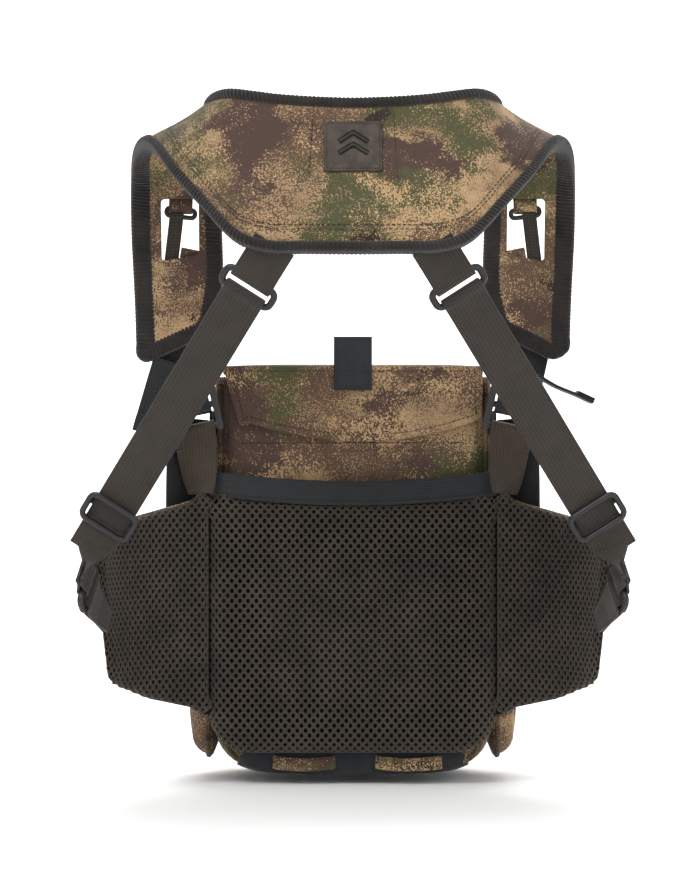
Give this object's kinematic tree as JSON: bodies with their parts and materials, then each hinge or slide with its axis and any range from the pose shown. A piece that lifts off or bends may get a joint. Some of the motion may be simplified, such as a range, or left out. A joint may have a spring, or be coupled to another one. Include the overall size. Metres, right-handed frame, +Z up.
{
  "type": "binocular harness pack",
  "caption": "Chest pack for binoculars with a forward-opening lid, mesh back pad and wings, and a padded shoulder yoke on adjustable webbing straps.",
  "frame": {"origin": "centre of the back pad's flat face, where the pack rests on the wearer's chest", "axes": "+X to the right seen from the wearer's side, +Y away from the wearer, +Z up"},
  "size_m": [0.331, 0.2921, 0.4052],
  "materials": {
    "camo_fabric": "brushed camouflage polyester",
    "spacer_mesh": "open 3-D spacer mesh",
    "strap_webbing": "ribbed olive-brown webbing",
    "black_webbing": "ribbed black webbing",
    "knit_binding": "ribbed knit tape",
    "elastic_band": "flat navy-black elastic",
    "base_fabric": "coated base fabric",
    "buckle_plastic": "moulded acetal, satin",
    "patch_leather": "debossed leatherette",
    "padding_foam": "fabric-faced closed-cell foam",
    "magnet_steel": "nickel plated"
  },
  "bodies": {
    "harness": {"back_pad": "spacer_mesh", "base_loops": "camo_fabric", "base_panel": "base_fabric", "foam_liner": "padding_foam", "front_pocket": "camo_fabric", "left_arm_hem": "knit_binding", "left_diagonal_strap": "strap_webbing", "left_front_strap": "black_webbing", "left_lock_loop": "strap_webbing", "left_side_anchor": "strap_webbing", "left_side_pocket": "camo_fabric", "left_window_ring": "buckle_plastic", "left_window_tab": "camo_fabric", "left_window_webbing": "black_webbing", "left_yoke_anchor": "strap_webbing", "left_yoke_ring": "buckle_plastic", "neck_binding": "knit_binding", "outer_binding": "knit_binding", "pack_shell": "camo_fabric", "patch": "patch_leather", "pocket_band": "elastic_band", "right_arm_hem": "knit_binding", "right_diagonal_strap": "strap_webbing", "right_front_strap": "black_webbing", "right_lock_loop": "strap_webbing", "right_side_anchor": "strap_webbing", "right_side_pocket": "camo_fabric", "right_window_ring": "buckle_plastic", "right_window_tab": "camo_fabric", "right_window_webbing": "black_webbing", "right_yoke_anchor": "strap_webbing", "right_yoke_ring": "buckle_plastic", "shoulder_yoke": "camo_fabric", "wall_magnet": "magnet_steel"},
    "lid": {"lid_shell": "camo_fabric", "lid_foam": "padding_foam", "lid_magnet": "magnet_steel", "tab_anchor": "elastic_band"},
    "tab": {"pull_tab": "elastic_band"},
    "left_wing_body": {"left_wing": "spacer_mesh", "left_wing_webbing": "strap_webbing", "left_wing_ring": "buckle_plastic", "left_strap_end": "strap_webbing"},
    "left_slider_body": {"left_slider": "buckle_plastic"},
    "left_lock_body": {"left_ladder_lock": "buckle_plastic", "left_lock_bight": "black_webbing"},
    "left_lower_tail_body": {"left_lower_tail": "black_webbing"},
    "left_upper_tail_body": {"left_upper_tail": "black_webbing"},
    "right_wing_body": {"right_wing": "spacer_mesh", "right_wing_webbing": "strap_webbing", "right_wing_ring": "buckle_plastic", "right_strap_end": "strap_webbing"},
    "right_slider_body": {"right_slider": "buckle_plastic"},
    "right_lock_body": {"right_ladder_lock": "buckle_plastic", "right_lock_bight": "black_webbing"},
    "right_lower_tail_body": {"right_lower_tail": "black_webbing"},
    "right_upper_tail_body": {"right_upper_tail": "black_webbing"}
  },
  "joints": [
    {"name": "lid_hinge", "type": "hinge", "parent": "harness", "child": "lid", "pos_m": [0, 0.1065, 0.1503], "axis": [-1, 0, 0], "range_deg": [0, 150]},
    {"name": "tab_flex", "type": "hinge", "parent": "lid", "child": "tab", "pos_m": [0, 0.01175, 0.158], "axis": [1, 0, 0], "range_deg": [-60, 60], "stiffness_Nm_per_rad": 0.01},
    {"name": "left_wing_flex", "type": "hinge", "parent": "harness", "child": "left_wing_body", "pos_m": [-0.0902, 0.005, 0.012], "axis": [0, 0, 1], "range_deg": [-5, 12], "stiffness_Nm_per_rad": 0.25},
    {"name": "right_wing_flex", "type": "hinge", "parent": "harness", "child": "right_wing_body", "pos_m": [0.0902, 0.005, 0.012], "axis": [0, 0, -1], "range_deg": [-5, 12], "stiffness_Nm_per_rad": 0.25},
    {"name": "left_slider_slide", "type": "slide", "parent": "harness", "child": "left_slider_body", "axis": [0.493, -0.3982, 0.7736], "range_m": [0, 0.12]},
    {"name": "right_slider_slide", "type": "slide", "parent": "harness", "child": "right_slider_body", "axis": [-0.493, -0.3982, 0.7736], "range_m": [0, 0.12]},
    {"name": "left_lock_tilt", "type": "hinge", "parent": "harness", "child": "left_lock_body", "pos_m": [-0.09666, 0.00623, 0.11708], "axis": [-0.9778, 0, -0.2095], "range_deg": [0, 18]},
    {"name": "right_lock_tilt", "type": "hinge", "parent": "harness", "child": "right_lock_body", "pos_m": [0.09666, 0.00623, 0.11708], "axis": [-0.9778, 0, 0.2095], "range_deg": [0, 18]},
    {"name": "left_lower_tail_swing", "type": "hinge", "parent": "harness", "child": "left_lower_tail_body", "pos_m": [-0.10129, 0.01403, 0.12435], "axis": [0.9778, 0, 0.2095], "range_deg": [0, 20]},
    {"name": "right_lower_tail_swing", "type": "hinge", "parent": "harness", "child": "right_lower_tail_body", "pos_m": [0.10129, 0.01403, 0.12435], "axis": [0.9778, 0, -0.2095], "range_deg": [0, 20]},
    {"name": "left_upper_tail_swing", "type": "hinge", "parent": "harness", "child": "left_upper_tail_body", "pos_m": [-0.1088, -0.012, 0.158], "axis": [-0.9588, 0, 0.284], "range_deg": [-2, 30]},
    {"name": "right_upper_tail_swing", "type": "hinge", "parent": "harness", "child": "right_upper_tail_body", "pos_m": [0.111, -0.02, 0.15], "axis": [0, -1, 0], "range_deg": [-10, 25]}
  ]
}
